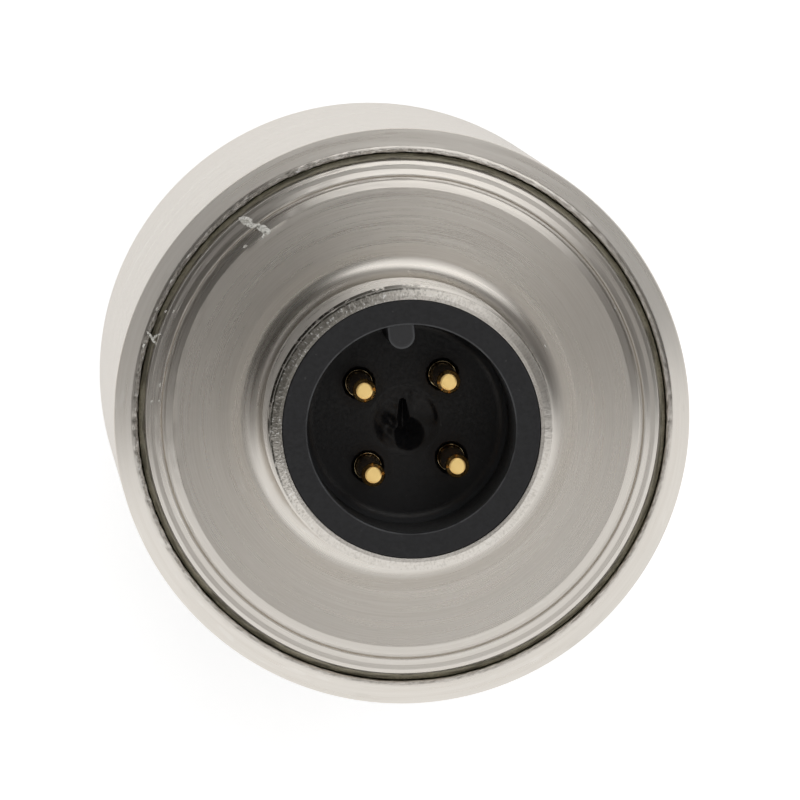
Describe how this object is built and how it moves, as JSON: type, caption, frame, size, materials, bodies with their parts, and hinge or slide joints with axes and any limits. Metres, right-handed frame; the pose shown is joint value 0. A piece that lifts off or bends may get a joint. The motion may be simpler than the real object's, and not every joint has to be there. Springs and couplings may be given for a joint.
{
  "type": "pressure transmitter",
  "caption": "Round stainless pressure transmitter with a threaded process stud at one end and a keyed round plug connector at the other.",
  "frame": {"origin": "centre of the end face of the process stud, on which it stands", "axes": "+Z along the body's axis towards the connector, +Y towards the connector's coding key"},
  "size_m": [0.0244, 0.0244, 0.081],
  "materials": {
    "turned_steel": "turned stainless steel, satin, with fine rings left by the tool",
    "gold_plating": "bright gold plating",
    "insert_plastic": "black moulded polyamide, satin rim and glossier floor",
    "seal_rubber": "black fluorocarbon rubber",
    "cell_ceramic": "white alumina, ground",
    "white_plastic": "natural acetal",
    "holder_plastic": "dark grey moulded polyester",
    "spring_steel": "phosphated spring steel",
    "board_laminate": "green solder mask on glass laminate",
    "flex_film": "amber polyimide film",
    "tinned_pin": "bright tin",
    "capacitor_ceramic": "tan ceramic",
    "package_plastic": "black moulding compound"
  },
  "bodies": {
    "root": {"board_holder": "holder_plastic", "board_link_pin_1": "tinned_pin", "board_link_pin_2": "tinned_pin", "board_link_pin_3": "tinned_pin", "board_link_pin_4": "tinned_pin", "capacitor_1": "capacitor_ceramic", "capacitor_2": "capacitor_ceramic", "capacitor_3": "capacitor_ceramic", "capacitor_4": "capacitor_ceramic", "carrier_o_ring": "seal_rubber", "carrier_snap_ring": "spring_steel", "cell_clamp_ring": "turned_steel", "cell_o_ring": "seal_rubber", "cell_pin_1": "tinned_pin", "cell_pin_2": "tinned_pin", "cell_pin_3": "tinned_pin", "cell_pin_4": "tinned_pin", "cell_pressure_ring": "white_plastic", "ceramic_cell": "cell_ceramic", "connector_board": "board_laminate", "connector_cap": "turned_steel", "contact_carrier": "insert_plastic", "contact_pin_1": "gold_plating", "contact_pin_2": "gold_plating", "contact_pin_3": "gold_plating", "contact_pin_4": "gold_plating", "housing_sleeve": "turned_steel", "loop_amplifier": "package_plastic", "lower_o_ring": "seal_rubber", "main_board": "board_laminate", "process_connection": "turned_steel", "resistor_1": "package_plastic", "resistor_2": "package_plastic", "resistor_3": "package_plastic", "sensor_flex": "flex_film", "signal_processor": "package_plastic", "surge_diode_1": "package_plastic", "surge_diode_2": "package_plastic", "surge_diode_3": "package_plastic", "thread_seal_ring": "seal_rubber", "upper_o_ring": "seal_rubber", "voltage_regulator": "package_plastic"}
  },
  "joints": []
}
